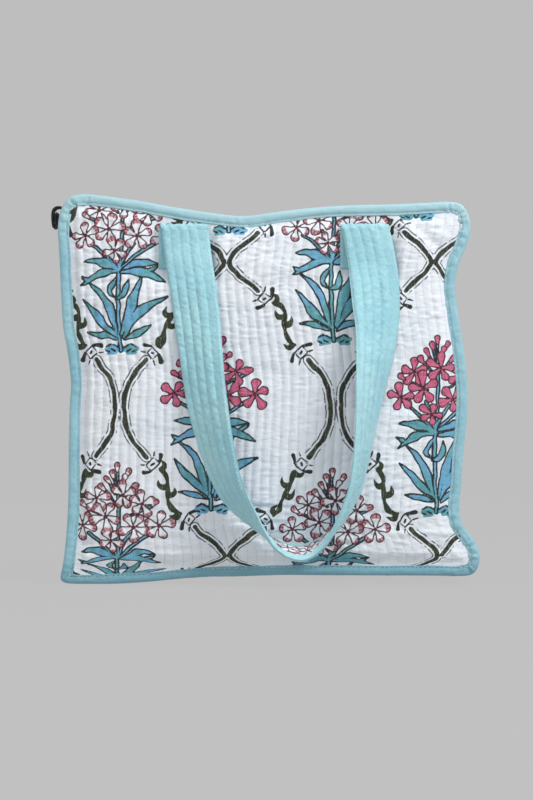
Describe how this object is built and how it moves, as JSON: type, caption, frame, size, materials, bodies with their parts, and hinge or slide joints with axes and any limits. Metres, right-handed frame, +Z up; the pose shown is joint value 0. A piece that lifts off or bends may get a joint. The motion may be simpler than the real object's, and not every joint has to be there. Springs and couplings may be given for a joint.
{
  "type": "knitting bag",
  "caption": "Quilted boxed carrier for knitting with bound seams, a recessed zip in the top and a padded carrying strap on each face.",
  "frame": {"origin": "middle of the base's flat underside, where the bag stands", "axes": "+Z up, +X to the wearer's right along the bag's width, the front face looks along -Y"},
  "size_m": [0.4348, 0.2438, 0.3908],
  "materials": {
    "block_print_cotton": "matt woven cotton, block printed",
    "blue_binding_cotton": "matt woven cotton, plain",
    "wadding": "matt fibre wadding",
    "lining_cotton": "matt woven cotton, plain",
    "sewing_thread": "twisted cotton thread",
    "zip_tape_black": "woven tape",
    "zip_teeth_black": "moulded, satin",
    "zip_metal": "black lacquer, satin"
  },
  "bodies": {
    "bag": {"front_printed_cloth": "block_print_cotton", "front_wadding": "wadding", "front_lining": "lining_cotton", "front_binding": "blue_binding_cotton", "front_handle_left_sewn_end": "blue_binding_cotton", "front_handle_right_sewn_end": "blue_binding_cotton", "front_handle_stitching": "sewing_thread", "top_strip_front_left": "block_print_cotton", "top_strip_front_right": "block_print_cotton", "back_printed_cloth": "block_print_cotton", "back_wadding": "wadding", "back_lining": "lining_cotton", "back_binding": "blue_binding_cotton", "back_handle_left_sewn_end": "blue_binding_cotton", "back_handle_right_sewn_end": "blue_binding_cotton", "back_handle_stitching": "sewing_thread", "top_strip_back_left": "block_print_cotton", "top_strip_back_right": "block_print_cotton", "left_gusset_printed_cloth": "block_print_cotton", "left_gusset_wadding": "wadding", "left_gusset_lining": "lining_cotton", "zip_tape_left_end": "zip_tape_black", "zip_teeth_left_end": "zip_teeth_black", "right_gusset_printed_cloth": "block_print_cotton", "right_gusset_wadding": "wadding", "right_gusset_lining": "lining_cotton", "zip_tape_right_end": "zip_tape_black", "zip_teeth_right_end": "zip_teeth_black", "base_printed_cloth": "block_print_cotton", "base_wadding": "wadding", "base_lining": "lining_cotton", "inner_pocket": "lining_cotton", "inner_pocket_hem": "blue_binding_cotton", "zip_tail": "zip_tape_black", "zip_bottom_stop": "zip_metal"},
    "front_flap": {"top_strip_front_middle": "block_print_cotton", "zip_tape_front": "zip_tape_black", "zip_teeth_front": "zip_teeth_black"},
    "back_flap": {"top_strip_back_middle": "block_print_cotton", "zip_tape_back": "zip_tape_black", "zip_teeth_back": "zip_teeth_black"},
    "zip_slider": {"zip_slider": "zip_metal"},
    "zip_pull": {"zip_pull": "zip_metal"},
    "front_handle": {"front_handle_face_cloth": "blue_binding_cotton", "front_handle_wadding": "wadding", "front_handle_underside_cloth": "block_print_cotton"},
    "back_handle": {"back_handle_face_cloth": "blue_binding_cotton", "back_handle_wadding": "wadding", "back_handle_underside_cloth": "block_print_cotton"}
  },
  "joints": [
    {"name": "zip_slide", "type": "slide", "parent": "bag", "child": "zip_slider", "axis": [1, 0, 0], "range_m": [0, 0.29]},
    {"name": "front_flap_fold", "type": "hinge", "parent": "bag", "child": "front_flap", "pos_m": [0, -0.052, 0.36], "axis": [1, 0, 0], "range_deg": [0, 86]},
    {"name": "back_flap_fold", "type": "hinge", "parent": "bag", "child": "back_flap", "pos_m": [0, 0.052, 0.36], "axis": [-1, 0, 0], "range_deg": [0, 86]},
    {"name": "zip_pull_turn", "type": "hinge", "parent": "zip_slider", "child": "zip_pull", "pos_m": [-0.172, 0, 0.36155], "axis": [0, -1, 0], "range_deg": [0, 120]},
    {"name": "front_handle_swing", "type": "hinge", "parent": "bag", "child": "front_handle", "pos_m": [0, -0.0665, 0.3545], "axis": [-1, 0, 0], "range_deg": [0, 180]},
    {"name": "back_handle_swing", "type": "hinge", "parent": "bag", "child": "back_handle", "pos_m": [0, 0.0665, 0.3545], "axis": [1, 0, 0], "range_deg": [0, 180]}
  ],
  "couplings": [
    {"joint": "front_flap_fold", "follows": "zip_slide", "rad_per_m": 5.1732},
    {"joint": "back_flap_fold", "follows": "zip_slide", "rad_per_m": 5.1732}
  ]
}
